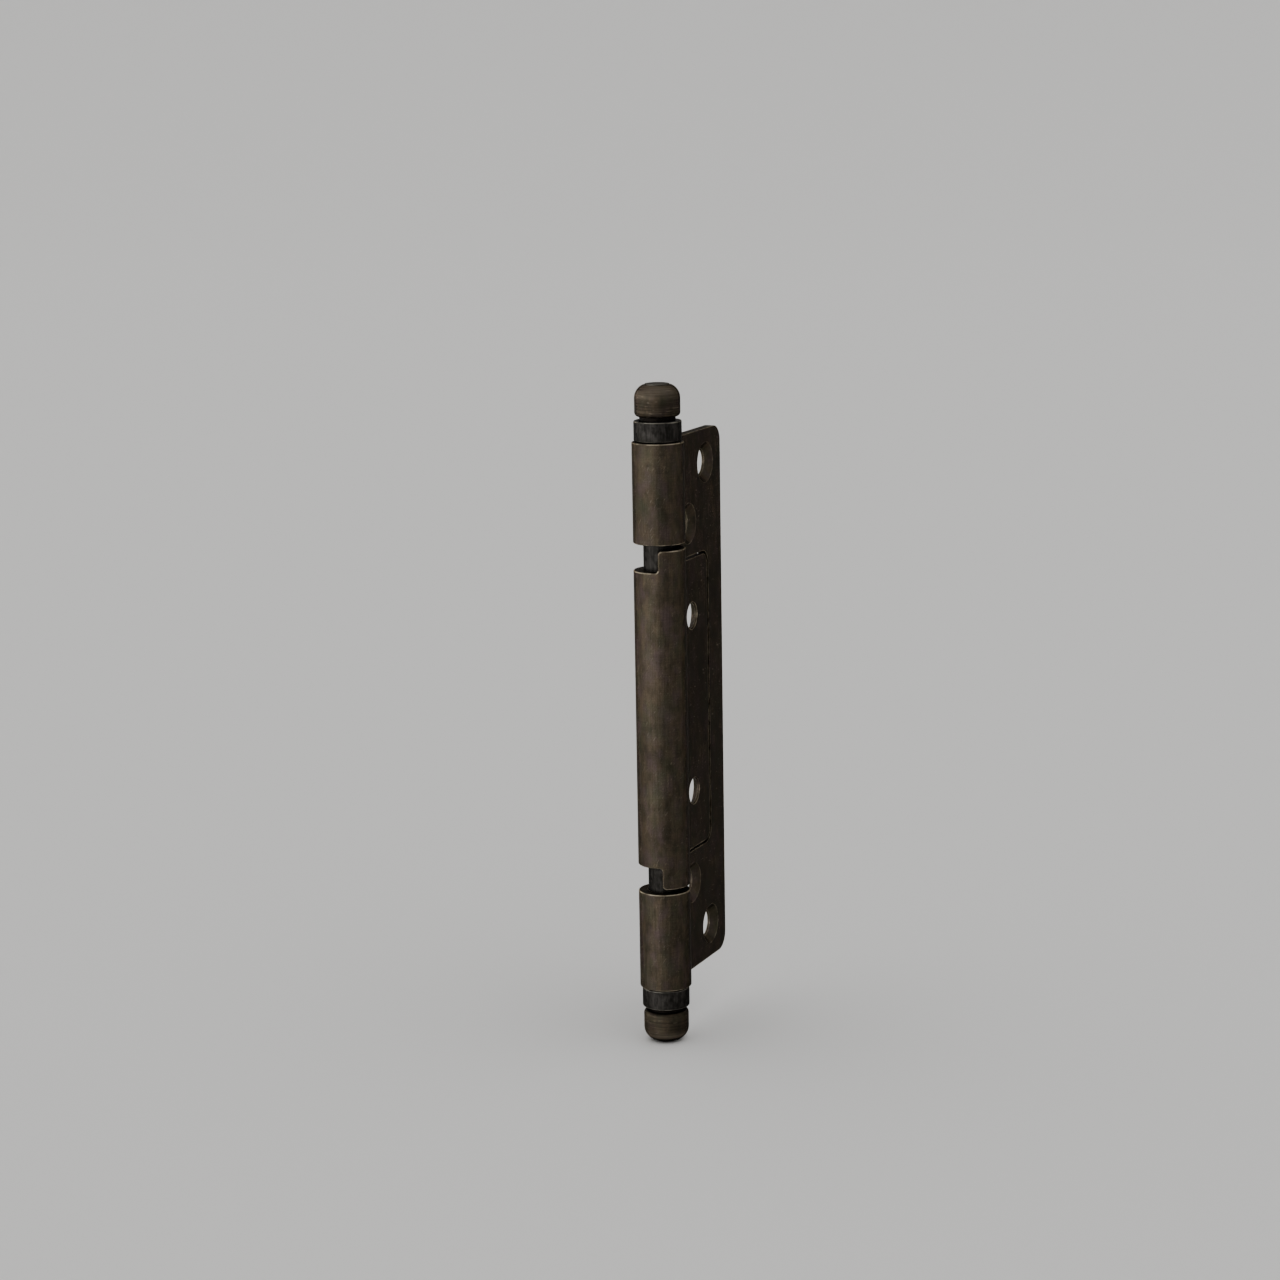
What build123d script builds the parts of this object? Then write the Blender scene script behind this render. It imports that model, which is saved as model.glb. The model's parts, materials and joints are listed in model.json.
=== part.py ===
from build123d import *
import os
from math import acos, asin, atan2, degrees, hypot, sqrt

# Button-tip cabinet hinge with nesting leaves, in millimetres, +Z up along the pin.
# The hinge stands shut, as on an inset cabinet door: -Y faces the room, +X is the door's side and
# -X the stile's. Both leaves run back (+Y) from the barrel in one plane, the door leaf inside the
# window of the stile leaf. The origin is on the stile leaf's mounting face, at mid height, in line
# with the pair of screw holes nearest the barrel.

# sheet and barrel
sheet = 1.1                # thickness of the rolled steel leaves
barrel_d = 6.0             # outside of the knuckles
barrel_h = 64.0            # first knuckle's top to last knuckle's bottom
outer_knuckle_h = 11.6     # each of the stile leaf's two knuckles
knuckle_gap = 0.6          # open gap between two knuckles
swage_r = 0.3              # inside radius where a flat leaf turns into its roll
seam_gap = 0.25            # between a roll's free end and the flat of its leaf
rim_round = 0.15           # worn edge of a knuckle's end

# notches at both ends of the middle knuckle, which let the door swing half a turn
notch_depth = 2.5
notch_turn = 19.0          # degrees from straight ahead towards the door, where each notch begins
notch_round = 0.35         # inside corner of a notch
horn_round = 0.5           # outside corner, where the taller part of the knuckle starts

# leaves, their reaches measured from the pin's axis
stile_reach = 17.5
bridge_w = 4.2             # strip of the stile leaf behind its window
leaf_fit = 0.35            # gap between the door leaf and the window round it
ear_root_depth = 0.4       # the wide root of each ear of the stile leaf starts this deep in the roll
stile_corner_r = 2.0
window_corner_r = 1.6
door_corner_r = 1.25

# countersunk holes for small wood screws, each pair as far above mid height as below
screw_hole_d = 3.2
screw_head_d = 4.8
screw_head_angle = 90.0
front_screw_reach = 7.4    # the stile leaf's pair nearest the barrel, from the pin's axis
front_screw_past = 3.85    # and how far past the end of the window
back_screw_edge = 4.7      # the stile leaf's other pair, in from its back edge
back_screw_end = 4.0       # and in from its top or bottom
door_screw_edge = 4.75     # the door leaf's pair, in from its back edge
door_screw_end = 6.8       # and in from its top or bottom

# pin
pin_clearance = 0.05       # radial, running fit in the knuckles
tenon_d = 2.5              # the pin's reduced ends, inside the buttons
peen_spread = 0.15         # how far the pin's ends are spread over the buttons, all round
peen_h = 0.14

# collar and button at each end of the pin
end_play = 0.1             # between a collar and the knuckle beside it
collar_step = 0.25         # how far a collar's side stands in from the barrel's
collar_h = 2.3
collar_round = 0.15
button_step = 0.375        # how far a button's side stands in from the barrel's
button_h = 3.6
button_crown_in = 0.975    # the button curves in by this much to its flat end
button_crown_h = 1.5       # over this height
neck_step = 0.55           # depth of the groove round the button's foot
neck_h = 0.45              # and its height
button_root_round = 0.5    # rounded edge over the groove
button_rim_round = 0.12    # worn edge of the flat end

# sizes that follow
barrel_r = barrel_d / 2
bore_r = barrel_r - sheet
pin_r = bore_r - pin_clearance
half_h = barrel_h / 2
outer_knuckle_z = half_h - outer_knuckle_h
door_knuckle_half = outer_knuckle_z - knuckle_gap
door_leaf_half = door_knuckle_half - notch_depth
window_half = door_leaf_half + leaf_fit
window_reach = stile_reach - bridge_w
door_reach = window_reach - leaf_fit
collar_z = half_h + end_play
neck_z = collar_z + collar_h
button_z = neck_z + neck_h
tip_z = button_z + button_h
ear_root_reach = barrel_r - ear_root_depth
tenon_r = tenon_d / 2
collar_r = barrel_r - collar_step
button_r = barrel_r - button_step
button_flat_r = button_r - button_crown_in
neck_r = button_r - neck_step

# places of the screw holes: reach from the pin's axis, height above mid height
front_screws = (front_screw_reach, window_half + front_screw_past)
back_screws = (stile_reach - back_screw_edge, half_h - back_screw_end)
door_screws = (door_reach - door_screw_edge, door_leaf_half - door_screw_end)

# the swage: a leaf's centre line leaves the flat on a small arc and joins the roll round the bore
swage_mid_r = swage_r + sheet / 2
roll_mid_r = bore_r + sheet / 2
root_reach = sqrt((roll_mid_r + swage_mid_r) ** 2 - swage_mid_r**2)
swage_turn = degrees(atan2(root_reach, swage_mid_r))

# the stile leaf's roll, in degrees anticlockwise from +X seen from above; the door leaf's mirrors it
roll_from = 180 - swage_turn
roll_to = 360 + degrees(acos((sheet / 2 + seam_gap) / barrel_r))
door_roll_from = 180 - roll_to
door_roll_to = 180 - roll_from

# the door leaf's roll is taller between these angles than in the notches
tall_from = -90 + notch_turn
tall_to = 90 - degrees(asin((sheet / 2 + leaf_fit) / ear_root_reach))

# places: the pin's axis, the leaves' middle plane and the two faces that screw heads sink into
pin_x = sheet / 2
pin_y = -front_screw_reach
pin_axis = Axis((pin_x, pin_y, 0), (0, 0, 1))
leaf_plane = Plane(origin=(pin_x, pin_y, 0), x_dir=(0, 1, 0), z_dir=(1, 0, 0))
stile_head_face = leaf_plane.offset(sheet / 2)
door_head_face = Plane(origin=(0, pin_y, 0), x_dir=(0, -1, 0), z_dir=(-1, 0, 0))


def barrel_plane(z):
    """A plane across the pin at height z, centred on its axis."""
    return Plane(origin=(pin_x, pin_y, z))


def roll_sector(z, from_angle, to_angle):
    """The sheet rolled round the bore between two angles, at height z."""
    with BuildSketch(barrel_plane(z)) as sector:
        with BuildLine():
            inside = CenterArc((0, 0), bore_r, from_angle, to_angle - from_angle)
            outside = CenterArc((0, 0), barrel_r, from_angle, to_angle - from_angle)
            Line(inside @ 0, outside @ 0)
            Line(inside @ 1, outside @ 1)
        make_face()
    return sector.sketch


def swage_profile(z, side):
    """The sheet between the flat of a leaf and its roll; side is -1 for the stile's, 1 for the door's."""
    centre = (side * swage_mid_r, root_reach)
    turn_from = 90 + 90 * side
    flat_end = root_reach + sheet
    with BuildSketch(barrel_plane(z)) as swage:
        with BuildLine():
            near = CenterArc(centre, swage_r, turn_from, side * swage_turn)
            far = CenterArc(centre, swage_r + sheet, turn_from, side * swage_turn)
            Line(near @ 1, far @ 1)
            Polyline(near @ 0, (side * sheet / 2, flat_end), (-side * sheet / 2, flat_end), far @ 0)
        make_face()
    return swage.sketch


def reach_rectangle(reach_from, reach_to, half_height):
    """A rectangle on a leaf between two reaches from the pin, as far above mid height as below."""
    with Locations(((reach_from + reach_to) / 2, 0)):
        Rectangle(reach_to - reach_from, 2 * half_height)


def on_outside(edge):
    """True for an edge on the outside of the barrel."""
    middle = edge @ 0.5
    return abs(hypot(middle.X - pin_x, middle.Y - pin_y) - barrel_r) < 0.01


def on_ray(edge, angle):
    """True for a straight edge whose middle is seen from the pin at this angle."""
    middle = edge @ 0.5
    seen = degrees(atan2(middle.Y - pin_y, middle.X - pin_x))
    return edge.geom_type == GeomType.LINE and abs((seen - angle + 180) % 360 - 180) < 0.1


os.makedirs("parts", exist_ok=True)

# STILE LEAF: a frame round a window, with the first and last knuckles rolled from its ears
with BuildPart() as stile_leaf:
    for z in (-half_h, outer_knuckle_z):
        extrude(roll_sector(z, roll_from, roll_to), amount=outer_knuckle_h)
    fillet(edges().filter_by(GeomType.CIRCLE).filter_by(on_outside), rim_round)
    for z in (-half_h, outer_knuckle_z):
        extrude(swage_profile(z, side=-1), amount=outer_knuckle_h)
    with BuildSketch(leaf_plane):
        reach_rectangle(root_reach, stile_reach, half_h)
        fillet(vertices().group_by(Axis.X)[-1], stile_corner_r)
    extrude(amount=sheet / 2, both=True)
    with BuildSketch(leaf_plane):
        reach_rectangle(ear_root_reach, root_reach, outer_knuckle_z)
    extrude(amount=sheet / 2, both=True)
    with BuildSketch(leaf_plane):
        reach_rectangle(0, window_reach, window_half)
        fillet(vertices().group_by(Axis.X)[-1], window_corner_r)
    extrude(amount=sheet / 2, both=True, mode=Mode.SUBTRACT)
    for reach, height in (front_screws, back_screws):
        with Locations(stile_head_face):
            with Locations((reach, height), (reach, -height)):
                CounterSinkHole(screw_hole_d / 2, screw_head_d / 2, counter_sink_angle=screw_head_angle)
stile_leaf.part.label = "stile_leaf"
export_step(stile_leaf.part, "parts/stile_leaf.step")

# DOOR LEAF: it nests in the window and carries the long middle knuckle
with BuildPart() as door_leaf:
    extrude(roll_sector(-door_knuckle_half, tall_from, tall_to), amount=2 * door_knuckle_half)
    extrude(roll_sector(-door_leaf_half, door_roll_from, door_roll_to), amount=2 * door_leaf_half)
    notch_edges = edges().filter_by(lambda e: on_ray(e, tall_from))
    notch_corners = notch_edges.filter_by(lambda e: abs(abs(e.center().Z) - door_leaf_half) < 0.01)
    fillet(notch_corners, notch_round)
    horn_corners = notch_edges.filter_by(lambda e: abs(abs(e.center().Z) - door_knuckle_half) < 0.01)
    fillet(horn_corners, horn_round)
    fillet(edges().filter_by(on_outside).filter_by(lambda e: not on_ray(e, door_roll_to)), rim_round)
    extrude(swage_profile(-door_leaf_half, side=1), amount=2 * door_leaf_half)
    with BuildSketch(leaf_plane):
        reach_rectangle(root_reach, door_reach, door_leaf_half)
        fillet(vertices().group_by(Axis.X)[-1], door_corner_r)
    extrude(amount=sheet / 2, both=True)
    reach, height = door_screws
    with Locations(door_head_face):
        with Locations((-reach, height), (-reach, -height)):
            CounterSinkHole(screw_hole_d / 2, screw_head_d / 2, counter_sink_angle=screw_head_angle)
door_leaf.part.label = "door_leaf"
export_step(door_leaf.part, "parts/door_leaf.step")

# HINGE PIN: a plain rod whose reduced ends pass through the buttons and are spread over their flats
with BuildPart() as hinge_pin:
    with BuildSketch(barrel_plane(0)):
        Circle(pin_r)
    extrude(amount=neck_z, both=True)
    with BuildSketch(barrel_plane(0)):
        Circle(tenon_r)
    extrude(amount=tip_z, both=True)
    with BuildSketch(barrel_plane(-tip_z - peen_h), barrel_plane(tip_z)):
        Circle(tenon_r + peen_spread)
    extrude(amount=peen_h)
    fillet(edges().group_by(Axis.Z)[0] + edges().group_by(Axis.Z)[-1], peen_h / 2)
hinge_pin.part.label = "hinge_pin"
export_step(hinge_pin.part, "parts/hinge_pin.step")

# COLLAR and BUTTON, one at each end: the collar is pressed on the rod, the button on its reduced end
for name, out in (("top", 1), ("bottom", -1)):
    end_plane = Plane(origin=(pin_x, pin_y, 0), z_dir=(0, 0, out))
    end_section = Plane(origin=(pin_x, pin_y, 0), x_dir=(1, 0, 0), z_dir=(0, -out, 0))

    with BuildPart() as collar:
        with BuildSketch(end_plane.offset(collar_z)):
            Circle(collar_r)
            Circle(pin_r, mode=Mode.SUBTRACT)
        extrude(amount=collar_h)
        collar_rims = edges().filter_by(GeomType.CIRCLE).sort_by(SortBy.RADIUS)[-2:]
        fillet(collar_rims, collar_round)
    collar.part.label = name + "_collar"
    export_step(collar.part, "parts/" + name + "_collar.step")

    with BuildPart() as button:
        with BuildSketch(end_section):
            with BuildLine():
                root_inner = (button_r - button_root_round, button_z)
                root_outer = (button_r, button_z + button_root_round)
                wall_top = (button_r, tip_z - button_crown_h)
                flat_rim = (button_flat_r, tip_z)
                TangentArc(root_inner, root_outer, tangent=(1, 0))
                Line(root_outer, wall_top)
                TangentArc(wall_top, flat_rim, tangent=(0, 1))
                Polyline(
                    flat_rim,
                    (tenon_r, tip_z),
                    (tenon_r, neck_z),
                    (neck_r, neck_z),
                    (neck_r, button_z),
                    root_inner,
                )
            make_face()
        revolve(axis=pin_axis)
        flat_edges = edges().group_by(Axis.Z)[-1 if out > 0 else 0].sort_by(SortBy.RADIUS)
        fillet(flat_edges[-1], button_rim_round)
    button.part.label = name + "_button"
    export_step(button.part, "parts/" + name + "_button.step")
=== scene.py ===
import json
from math import cos, pi, radians, sin

import bmesh
import bpy
from mathutils import Euler, Matrix, Vector


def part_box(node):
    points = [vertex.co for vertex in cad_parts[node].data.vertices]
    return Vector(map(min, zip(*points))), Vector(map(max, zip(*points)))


# A button-tip cabinet hinge standing on a pale studio floor. The shapes are the CAD nodes' own; this
# script gives them their finishes. Everything is in metres, +Z up along the pin, -Y towards the room.

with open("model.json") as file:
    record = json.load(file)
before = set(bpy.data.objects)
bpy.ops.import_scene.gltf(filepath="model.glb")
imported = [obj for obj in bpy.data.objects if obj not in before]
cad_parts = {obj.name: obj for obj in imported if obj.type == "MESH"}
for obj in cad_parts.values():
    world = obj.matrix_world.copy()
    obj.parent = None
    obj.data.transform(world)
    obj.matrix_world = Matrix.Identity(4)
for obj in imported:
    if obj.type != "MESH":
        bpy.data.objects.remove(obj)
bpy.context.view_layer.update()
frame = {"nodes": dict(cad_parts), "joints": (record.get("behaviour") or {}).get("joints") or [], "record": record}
MM = 0.001
PIN = Vector(frame["joints"][0]["pos_m"])     # a point on the pin's axis, at mid height
BARREL_R = PIN.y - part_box("door_leaf")[0].y   # outside radius of the knuckles
COLLAR_R = PIN.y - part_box("top_collar")[0].y  # and of the collars
TIP_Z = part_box("hinge_pin")[1].z              # top of the pin's spread end
GROOVE_H = 0.45 * MM                          # height of the groove round a button's foot
CROWN_H = 1.6 * MM                            # how far from its end a button starts to curve in
GROOVE_MM = (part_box("top_button")[0].z + GROOVE_H) / MM
CROWN_MM = (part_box("top_button")[1].z - CROWN_H) / MM


# ---------------------------------------------------------------- camera

def look_at_barrel():
    """The camera stands in the room, to the right of the hinge, and looks a little down on it."""
    azimuth, pitch, roll = radians(23), radians(10.82), radians(0.95)
    away, above = 0.350, 0.076
    turned_left = radians(0.39)     # which sets the barrel a little right of the middle
    camera = bpy.data.objects.new("camera", bpy.data.cameras.new("camera"))
    bpy.context.scene.collection.objects.link(camera)
    camera.location = PIN + Vector((away * sin(azimuth), -away * cos(azimuth), above))
    aim = Euler((pi / 2 - pitch, 0, azimuth + turned_left)).to_matrix().to_4x4()
    camera.rotation_euler = (aim @ Matrix.Rotation(-roll, 4, "Z")).to_euler()
    camera.data.lens = 87.4
    camera.data.clip_start = 0.01
    camera.data.clip_end = 50
    bpy.context.scene.camera = camera


look_at_barrel()


# ---------------------------------------------------------------- colours and nodes

def srgb(hex_colour, alpha=1.0):
    """An sRGB hex colour as the linear values that Blender's sockets hold."""
    channels = [int(hex_colour[i:i + 2], 16) / 255 for i in (1, 3, 5)]
    return (*(c / 12.92 if c <= 0.04045 else ((c + 0.055) / 1.055) ** 2.4 for c in channels), alpha)


def add(tree, kind, links=None, out=0, **settings):
    """Adds a node and gives back one of its outputs. links sets its inputs, to values or other outputs."""
    node = tree.nodes.new("ShaderNode" + kind)
    for name, value in settings.items():
        setattr(node, name, value)
    for key, value in (links or {}).items():
        if isinstance(value, bpy.types.NodeSocket):
            tree.links.new(value, node.inputs[key])
        else:
            node.inputs[key].default_value = value
    return node.outputs[out] if node.outputs else None


SMOOTH = {"interpolation_type": "SMOOTHSTEP"}    # for a MapRange that eases in and out


def new_material(name):
    """A material whose node tree is empty, and that tree."""
    material = bpy.data.materials.new(name)
    material.use_nodes = True
    material.node_tree.nodes.clear()
    return material, material.node_tree


def from_the_pin(tree):
    """Where a point is, in mm from the pin's axis and mid height. lathe gives side, out and up."""
    own = add(tree, "TexCoord", out="Object")
    place = add(tree, "Mapping", {
        "Vector": own, "Location": (PIN.x, PIN.y, 0), "Scale": (MM, MM, MM)}, vector_type="TEXTURE")
    flat = add(tree, "VectorMath", {0: place, 1: (1, 1, 0)}, operation="MULTIPLY")
    out = add(tree, "VectorMath", {0: flat}, out="Value", operation="LENGTH")
    up = add(tree, "VectorMath", {0: place, 1: (0, 0, 1)}, out="Value", operation="DOT_PRODUCT")
    side = add(tree, "VectorMath", {0: place, 1: (1, 0, 0)}, out="Value", operation="DOT_PRODUCT")
    lathe = add(tree, "CombineXYZ", {0: side, 1: out, 2: up})
    height = add(tree, "Math", {0: up}, operation="ABSOLUTE")
    return {"place": place, "lathe": lathe, "out": out, "height": height}


def grain(tree, where, cell_mm, seed, low, high, detail=3.0, most=1.0, tilt=0.0):
    """Noise in cells of cell_mm along each axis, 0 where it is under low and most where it is over high."""
    cells = add(tree, "Mapping", {
        "Vector": where, "Location": (seed * 7.31, seed * 3.17, seed * 5.53),
        "Rotation": (tilt, tilt, 0), "Scale": cell_mm}, vector_type="TEXTURE")
    noise = add(tree, "TexNoise", {
        "Vector": cells, "Scale": 1.0, "Detail": detail, "Roughness": 0.55}, noise_dimensions="3D")
    return add(tree, "MapRange", {0: noise, 1: low, 2: high, 4: most}, **SMOOTH)


def sharp_edges(tree, radius_mm):
    """1 on sharp edges, 0 on smooth surfaces, from the angle that a bevel would turn."""
    rounded = add(tree, "Bevel", {"Radius": radius_mm * MM}, samples=6)
    true = add(tree, "NewGeometry", out="Normal")
    agree = add(tree, "VectorMath", {0: rounded, 1: true}, out="Value", operation="DOT_PRODUCT")
    return add(tree, "MapRange", {0: agree, 1: 0.99, 2: 0.86}, **SMOOTH)


def rolled_rims(tree, at, radius_mm):
    """1 on the rounding where a barrel of this radius turns over to its end."""
    normal = add(tree, "NewGeometry", out="Normal")
    tipped = add(tree, "VectorMath", {0: normal, 1: (0, 0, 1)}, out="Value", operation="DOT_PRODUCT")
    tipped = add(tree, "Math", {0: tipped}, operation="ABSOLUTE")
    off_side = add(tree, "MapRange", {0: tipped, 1: 0.05, 2: 0.5}, **SMOOTH)
    off_end = add(tree, "MapRange", {0: tipped, 1: 0.98, 2: 0.8}, **SMOOTH)
    inward = add(tree, "Math", {0: at["out"], 1: radius_mm}, operation="SUBTRACT")
    inward = add(tree, "Math", {0: inward}, operation="ABSOLUTE")
    outermost = add(tree, "MapRange", {0: inward, 1: 0.3, 2: 0.2}, **SMOOTH)
    rim = add(tree, "Math", {0: off_side, 1: off_end}, operation="MULTIPLY")
    return add(tree, "Math", {0: rim, 1: outermost}, operation="MULTIPLY")


def painted_gap_shade(tree, reach_mm):
    """Painted shade: up to 0.9 deep in a gap, 0 on open surfaces."""
    open_sky = add(tree, "AmbientOcclusion", {"Distance": reach_mm * MM}, out="AO", samples=8)
    return add(tree, "MapRange", {0: open_sky, 1: 0.3, 2: 0.8, 3: 0.9, 4: 0}, **SMOOTH)


def coated(tree, under, coats):
    """A colour with coats laid over it in turn. Each is (cover, colour) or (cover, colour, blend)."""
    for cover, colour, *blend in coats:
        # a Mix node's colours are its inputs 6 and 7 and its output 2
        under = add(tree, "Mix", {0: cover, 6: under, 7: colour}, out=2, data_type="RGBA",
                    blend_type=blend[0] if blend else "MIX")
    return under


def worn(tree, at, seed, edges, least, most):
    """Edges rubbed through in patches of about 1 mm, between least and most of the way."""
    patches = grain(tree, at["place"], (0.9, 0.9, 0.7), seed, 0.36, 0.62, most=most - least)
    patches = add(tree, "Math", {0: patches, 1: least}, operation="ADD")
    return add(tree, "Math", {0: edges, 1: patches}, operation="MULTIPLY")


OXIDE_TINT = srgb("#757068")    # tints the sheen of metal seen at a slant
GAP_SHADE_AND_GROOVE_DARK = srgb("#0d0b0a")         # painted shade deep in gaps, also laid from each button's foot up to its groove's top


def metal(tree, colour, rough, relief, relief_mm, strength):
    """Bare metal under a dark oxide skin, which keeps it dark where it is seen at a slant."""
    bump = add(tree, "Bump", {"Height": relief, "Strength": strength, "Distance": relief_mm * MM})
    shader = add(tree, "BsdfPrincipled", {
        "Base Color": colour, "Metallic": 0.9, "Specular Tint": OXIDE_TINT, "Roughness": rough,
        "Normal": bump})
    add(tree, "OutputMaterial", {"Surface": shader})


# ---------------------------------------------------------------- antique bronze

# Antique bronze plate on steel: a thin coat darkened in a bath, then relieved on a belt. The eye sees
# a dark brown metal, clouded warm, mauve and grey-green, with a satin sheen, and paler rims and
# scratches where the coat is rubbed through.
BRONZE_DARK = srgb("#2c2821")
BRONZE_WARM = srgb("#443b30")
BRONZE_MAUVE = srgb("#403634")
BRONZE_GREEN = srgb("#343529")
# paler plate where rubbed through; on the buttons' ends also a painted highlight
BRONZE_RUBBED_AND_HIGHLIGHT = srgb("#70675a")
BRONZE_RIM = srgb("#a89d88")


def bath_clouds(tree, at, seed):
    """The coat's colour: faint warm, mauve and grey-green clouds, about 2 mm long, over 10 mm ones."""
    broad = grain(tree, at["place"], (6.0, 6.0, 10.0), seed + 3, 0.3, 0.7, detail=2)
    shade = add(tree, "Math", {0: broad, 1: 0.24, 2: 0.88}, operation="MULTIPLY_ADD")
    return coated(tree, BRONZE_DARK, (
        (grain(tree, at["place"], (0.9, 0.9, 1.7), seed, 0.25, 0.75, detail=5), BRONZE_WARM),
        (grain(tree, at["place"], (1.5, 1.5, 2.2), seed + 1, 0.42, 0.72, most=0.85), BRONZE_MAUVE),
        (grain(tree, at["place"], (1.6, 1.6, 2.4), seed + 2, 0.4, 0.76, most=0.65), BRONZE_GREEN),
        (1.0, shade, "MULTIPLY")))


def brushed_bronze():
    """Leaves and knuckles: rolled sheet, brushed along the barrel, then scratched by handling."""
    material, tree = new_material("antique_bronze_brushed_sheet")
    at = from_the_pin(tree)
    # real brush lines are about 0.05 mm wide, and are drawn at twice that so that they show
    brushed = grain(tree, at["place"], (0.11, 0.11, 3.5), 5, 0.3, 0.7, detail=4)
    across = grain(tree, at["place"], (2.2, 2.2, 0.14), 6, 0.3, 0.7)
    speckled = grain(tree, at["place"], (0.12, 0.12, 0.16), 7, 0.3, 0.7, detail=1)
    scratches = grain(tree, at["place"], (0.1, 0.5, 3.0), 8, 0.64, 0.74, detail=2, most=0.35, tilt=0.5)
    nicks = grain(tree, at["place"], (0.2, 0.2, 0.22), 9, 0.68, 0.8, detail=1, most=0.2)

    brush_shade = add(tree, "Math", {0: brushed, 1: 0.34, 2: 0.84}, operation="MULTIPLY_ADD")
    cross_shade = add(tree, "Math", {0: across, 1: 0.14, 2: 0.93}, operation="MULTIPLY_ADD")
    speckle_shade = add(tree, "Math", {0: speckled, 1: 0.2, 2: 0.9}, operation="MULTIPLY_ADD")
    rims = add(tree, "Math", {0: sharp_edges(tree, 0.2), 1: rolled_rims(tree, at, BARREL_R / MM)},
               operation="MAXIMUM")
    colour = coated(tree, bath_clouds(tree, at, 1), (
        (1.0, brush_shade, "MULTIPLY"), (1.0, cross_shade, "MULTIPLY"), (1.0, speckle_shade, "MULTIPLY"),
        (scratches, BRONZE_RUBBED_AND_HIGHLIGHT), (nicks, BRONZE_RUBBED_AND_HIGHLIGHT),
        # the last coat is painted shade, darkest deep in gaps
        (worn(tree, at, 10, rims, 0.12, 0.75), BRONZE_RIM), (painted_gap_shade(tree, 0.9), GAP_SHADE_AND_GROOVE_DARK)))

    rough = add(tree, "Math", {0: brushed, 1: 0.16, 2: 0.38}, operation="MULTIPLY_ADD")
    relief = add(tree, "Math", {0: across, 1: 0.3, 2: brushed}, operation="MULTIPLY_ADD")
    metal(tree, colour, rough, relief, 0.008, 0.4)
    return material


def turned_bronze():
    """Buttons: turned from bar, so rings of tool marks run round them, under the same plate."""
    material, tree = new_material("antique_bronze_turned_bar")
    at = from_the_pin(tree)
    # real tool marks are finer than 0.1 mm, and are drawn at 0.15 mm so that they show
    rings = grain(tree, at["lathe"], (8.0, 0.5, 0.15), 14, 0.3, 0.7)
    nicks = grain(tree, at["lathe"], (0.7, 0.4, 0.14), 15, 0.64, 0.78, detail=1, most=0.4)

    ring_shade = add(tree, "Math", {0: rings, 1: 0.65, 2: 0.5}, operation="MULTIPLY_ADD")
    # paler ring bands near each button's end: a painted highlight, laid in the rubbed colour
    crown = add(tree, "MapRange", {0: at["height"], 1: CROWN_MM, 2: CROWN_MM + 0.9, 4: 0.45},
                **SMOOTH)
    ring_tops = add(tree, "Math", {0: rings, 1: 0.6, 2: 0.4}, operation="MULTIPLY_ADD")
    crown_highlight = add(tree, "Math", {0: crown, 1: ring_tops}, operation="MULTIPLY")
    edges = add(tree, "Math", {0: sharp_edges(tree, 0.16), 1: 0.6}, operation="MULTIPLY")
    # darker from each button's foot up to the top of its groove, next to the collar
    groove = add(tree, "MapRange", {0: at["height"], 1: GROOVE_MM, 2: GROOVE_MM + 0.12, 3: 0.9, 4: 0},
                 **SMOOTH)
    colour = coated(tree, bath_clouds(tree, at, 11), (
        # a painted highlight on the crowns, then nicks rubbed through
        (1.0, ring_shade, "MULTIPLY"), (crown_highlight, BRONZE_RUBBED_AND_HIGHLIGHT), (nicks, BRONZE_RUBBED_AND_HIGHLIGHT),
        # rubbed rims, then painted shade deep in gaps
        (worn(tree, at, 16, edges, 0.12, 0.75), BRONZE_RIM), (painted_gap_shade(tree, 0.9), GAP_SHADE_AND_GROOVE_DARK),
        (groove, GAP_SHADE_AND_GROOVE_DARK)))

    rough = add(tree, "Math", {0: rings, 1: 0.14, 2: 0.38}, operation="MULTIPLY_ADD")
    metal(tree, colour, rough, rings, 0.016, 0.6)
    return material


# ---------------------------------------------------------------- blackened steel

# Blackened steel: an oxide bath leaves a thin skin. The eye sees a near-black neutral grey with a
# satin gloss, thin paler edges, and plain grey steel where the pin's ends were hammered over.
STEEL_BLACK = srgb("#1c1b19")
STEEL_GREY = srgb("#2d2b29")
STEEL_RUBBED = srgb("#8b877c")
STEEL_HAMMERED = srgb("#4d4a44")


def blackened_steel():
    """Pin and collars, turned, blackened and rubbed in use."""
    material, tree = new_material("blackened_steel_satin")
    at = from_the_pin(tree)
    rings = grain(tree, at["lathe"], (5.0, 0.3, 0.12), 22, 0.3, 0.7, detail=2)
    drawn = grain(tree, at["place"], (0.18, 0.18, 1.6), 23, 0.35, 0.7)
    clouds = grain(tree, at["place"], (0.6, 0.6, 0.8), 21, 0.35, 0.65)

    draw_shade = add(tree, "Math", {0: drawn, 1: 0.65, 2: 0.75}, operation="MULTIPLY_ADD")
    hammered = add(tree, "MapRange", {0: at["height"], 1: TIP_Z / MM - 0.2, 2: TIP_Z / MM - 0.12},
                   **SMOOTH)
    rims = add(tree, "Math", {0: sharp_edges(tree, 0.14), 1: rolled_rims(tree, at, COLLAR_R / MM)},
               operation="MAXIMUM")
    colour = coated(tree, STEEL_BLACK, (
        (clouds, STEEL_GREY), (1.0, draw_shade, "MULTIPLY"), (hammered, STEEL_HAMMERED),
        # the last coat is painted shade, darkest deep in gaps
        (worn(tree, at, 24, rims, 0.15, 0.7), STEEL_RUBBED), (painted_gap_shade(tree, 0.7), GAP_SHADE_AND_GROOVE_DARK)))

    rough = add(tree, "Math", {0: rings, 1: 0.14, 2: 0.32}, operation="MULTIPLY_ADD")
    metal(tree, colour, rough, rings, 0.006, 0.4)
    return material


FINISHES = {"bronze_patina": brushed_bronze(), "turned_bronze": turned_bronze(),
            "blackened_steel": blackened_steel()}
for part in frame["record"]["subparts"]:
    node = frame["nodes"][part["node"]]
    node.data.materials.clear()
    node.data.materials.append(FINISHES[part["material_slot"]])


# ---------------------------------------------------------------- floor and lights

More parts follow.
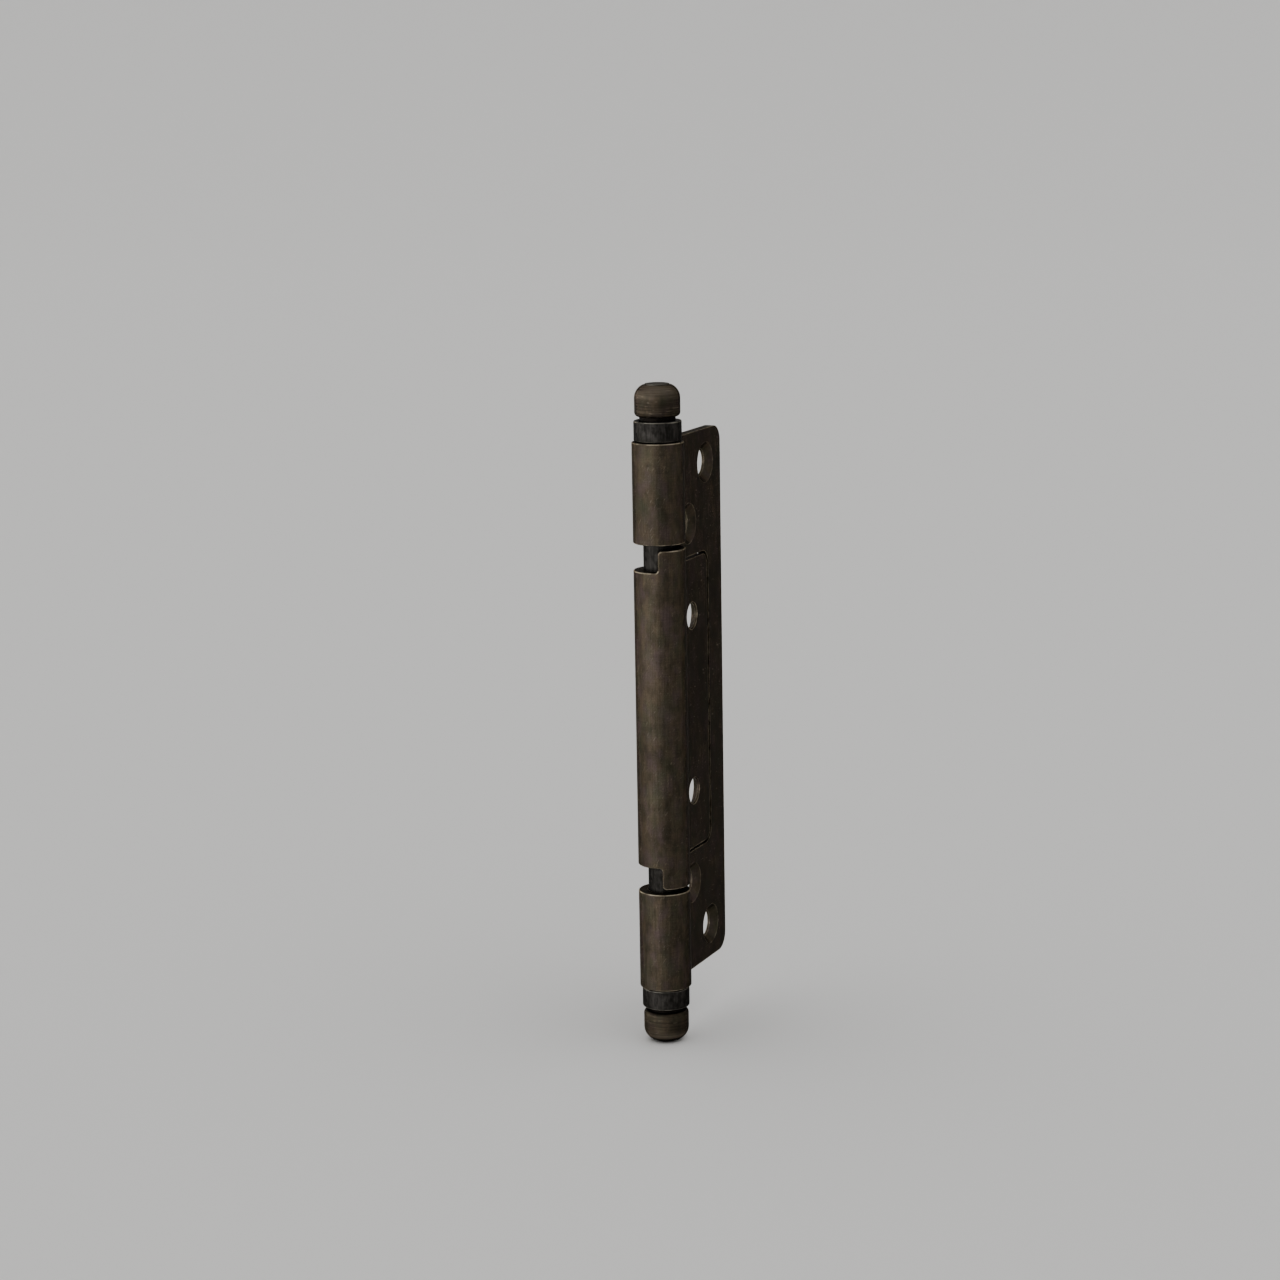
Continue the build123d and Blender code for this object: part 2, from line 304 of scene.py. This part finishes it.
def pale_floor():
    """A pale matt floor that sweeps up gently all round, so that no hard horizon shows."""
    flat_r, bend_r, wall_h = 1.6, 1.5, 0.2
    steps, bend_steps = 96, 24
    turns = [k * pi / 2 / bend_steps for k in range(bend_steps + 1)]
    sweep = [(flat_r + bend_r * sin(a), bend_r * (1 - cos(a))) for a in turns]
    sweep.append((flat_r + bend_r, bend_r + wall_h))
    mesh = bmesh.new()
    rings = [[mesh.verts.new((r * cos(2 * pi * k / steps), r * sin(2 * pi * k / steps), z))
              for k in range(steps)] for r, z in sweep]
    mesh.faces.new(rings[0])
    for low, high in zip(rings, rings[1:]):
        for k in range(steps):
            after = (k + 1) % steps
            mesh.faces.new((low[k], high[k], high[after], low[after]))
    floor = bpy.data.objects.new("floor", bpy.data.meshes.new("floor"))
    mesh.to_mesh(floor.data)
    mesh.free()
    floor.data.polygons.foreach_set("use_smooth", [True] * len(floor.data.polygons))
    floor.location = (PIN.x, PIN.y, -TIP_Z)
    bpy.context.scene.collection.objects.link(floor)

    material, tree = new_material("pale_matt_floor")
    clouds = add(tree, "TexNoise", {"Scale": 1.2, "Detail": 2.0})
    colour = coated(tree, srgb("#e6e5e3"), [(clouds, srgb("#ebeae8"))])
    shader = add(tree, "BsdfPrincipled", {"Base Color": colour, "Roughness": 0.8})
    add(tree, "OutputMaterial", {"Surface": shader})
    floor.data.materials.append(material)


def studio_light():
    """Three soft panels round the hinge's left side, under a ceiling that is brightest overhead."""
    hinge = bpy.data.collections.new("hinge")
    for node in frame["nodes"].values():
        hinge.objects.link(node)
    distance, width, height = 1.2, 0.96, 0.8
    watts = 10.5
    rise = radians(-2)
    for side, azimuth in enumerate((-14, -58, -102), start=1):
        lamp = bpy.data.lights.new("side_panel_" + str(side), "AREA")
        lamp.shape = "RECTANGLE"
        lamp.size = width
        lamp.size_y = height
        lamp.energy = watts
        panel = bpy.data.objects.new(lamp.name, lamp)
        turn = radians(azimuth)
        out = Vector((sin(turn) * cos(rise), -cos(turn) * cos(rise), sin(rise)))
        panel.location = PIN + out * distance
        panel.rotation_euler = out.to_track_quat("Z", "Y").to_euler()
        panel.visible_camera = False
        # the panels light the hinge alone, so the floor stays even and hides no part of a panel
        panel.light_linking.receiver_collection = hinge
        panel.light_linking.blocker_collection = hinge
        bpy.context.scene.collection.objects.link(panel)

    world = bpy.data.worlds.new("studio")
    world.use_nodes = True
    tree = world.node_tree
    tree.nodes.clear()
    ray = add(tree, "TexCoord", out="Generated")
    up = add(tree, "VectorMath", {0: ray, 1: (0, 0, 1)}, out="Value", operation="DOT_PRODUCT")
    overhead = add(tree, "MapRange", {0: up, 1: 0.1, 2: 0.95}, **SMOOTH)
    ceiling = coated(tree, srgb("#9c9ea1"), [(overhead, srgb("#fbfbfb"))])
    add(tree, "OutputWorld", {"Surface": add(tree, "Background", {"Color": ceiling, "Strength": 1.1})})
    bpy.context.scene.world = world


pale_floor()
studio_light()
